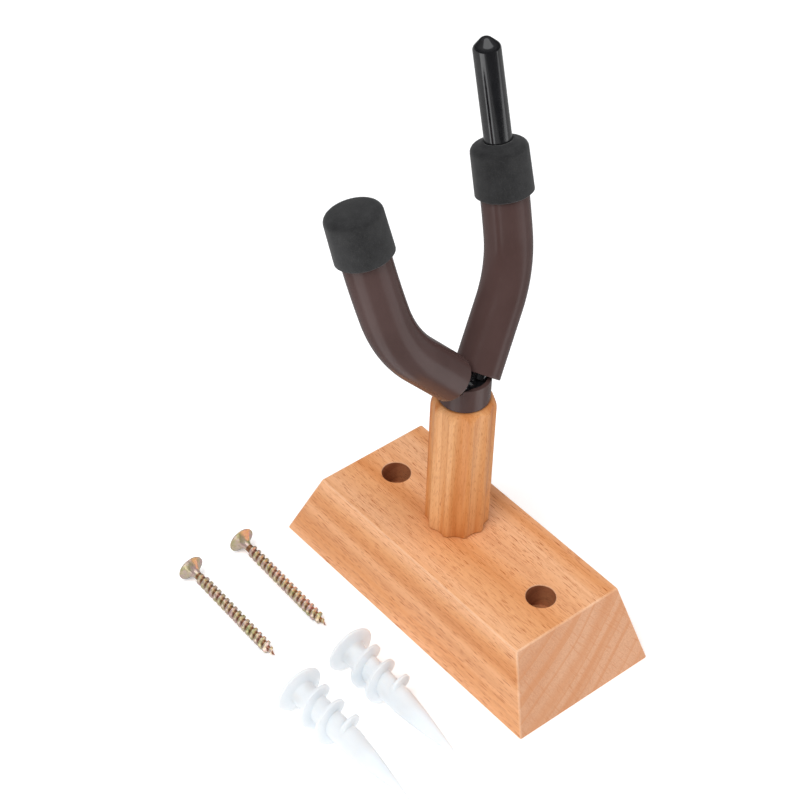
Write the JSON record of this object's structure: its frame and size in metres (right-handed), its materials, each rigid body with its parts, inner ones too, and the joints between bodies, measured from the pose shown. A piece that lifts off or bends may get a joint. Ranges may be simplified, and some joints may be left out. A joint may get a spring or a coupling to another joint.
{
  "type": "wall guitar hanger",
  "caption": "Wall guitar hanger: wood base block and fluted post carrying a swivelling, sleeved two-arm yoke, with loose wall screws and anchors.",
  "frame": {"origin": "centre of the base block's back face, on the wall plane, midway between the two wall-screw holes", "axes": "+Z out of the wall along the post; +Y up the wall along the base block; +X to the right as seen from the room"},
  "size_m": [0.1314, 0.1311, 0.2011],
  "materials": {
    "beech_base": "satin clear lacquer",
    "beech_post": "semi-gloss clear lacquer",
    "black_steel": "gloss black",
    "brown_pvc": "semi-gloss",
    "black_rubber": "matte",
    "zinc_steel": "bright zinc plate",
    "yellow_zinc": "yellow zinc plate",
    "white_nylon": "satin"
  },
  "bodies": {
    "base": {"base_block": "beech_base", "post": "beech_post", "back_washer": "zinc_steel"},
    "yoke": {"yoke_stud": "zinc_steel", "yoke_knuckle": "black_steel", "slip_washer": "white_nylon", "lock_nut": "zinc_steel", "lock_nut_ring": "white_nylon", "collar": "brown_pvc", "left_arm_rod": "black_steel", "right_arm_rod": "black_steel", "left_sleeve": "brown_pvc", "right_sleeve": "brown_pvc", "left_cap": "black_rubber", "right_cap": "black_rubber"},
    "screw_1": {"wall_screw_1": "yellow_zinc"},
    "screw_2": {"wall_screw_2": "yellow_zinc"},
    "anchor_1": {"wall_anchor_1": "white_nylon"},
    "anchor_2": {"wall_anchor_2": "white_nylon"}
  },
  "joints": [
    {"name": "yoke_swivel", "type": "hinge", "parent": "base", "child": "yoke", "pos_m": [0.0024, 0.0082, 0.05], "axis": [0, 0, 1], "continuous": true},
    {"name": "screw_1_lift", "type": "slide", "parent": "base", "child": "screw_1", "axis": [0, 0, 1], "range_m": [0, 0.06]},
    {"name": "screw_2_lift", "type": "slide", "parent": "base", "child": "screw_2", "axis": [0, 0, 1], "range_m": [0, 0.06]},
    {"name": "anchor_1_lift", "type": "slide", "parent": "base", "child": "anchor_1", "axis": [0, 0, 1], "range_m": [0, 0.06]},
    {"name": "anchor_2_lift", "type": "slide", "parent": "base", "child": "anchor_2", "axis": [0, 0, 1], "range_m": [0, 0.06]}
  ]
}
